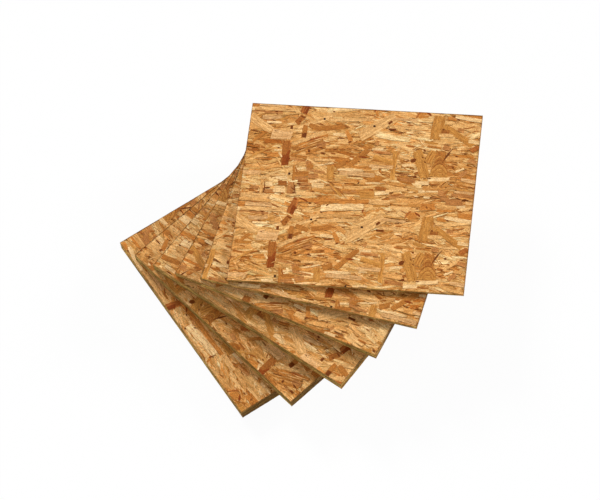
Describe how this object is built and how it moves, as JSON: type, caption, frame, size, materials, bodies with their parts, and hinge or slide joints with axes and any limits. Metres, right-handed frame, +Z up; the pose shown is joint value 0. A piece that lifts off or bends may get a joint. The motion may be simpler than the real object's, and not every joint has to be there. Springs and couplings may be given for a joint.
{
  "type": "stack of oriented strand board panels",
  "caption": "Stack of square-edged oriented strand board panels, lying flat and fanned out, thickest at the bottom and thinnest on top; sheet material for cutting and sheathing.",
  "frame": {"origin": "centre of the bottom panel's underside", "axes": "+X along the bottom panel's front edge, +Y from its front edge to its back edge, +Z up through the stack"},
  "size_m": [0.6226, 0.7364, 0.096],
  "materials": {
    "osb": "raw pressed strands, matt"
  },
  "bodies": {
    "root": {"bottom_panel": "osb", "second_panel": "osb", "third_panel": "osb", "fourth_panel": "osb", "fifth_panel": "osb", "top_panel": "osb"}
  },
  "joints": []
}
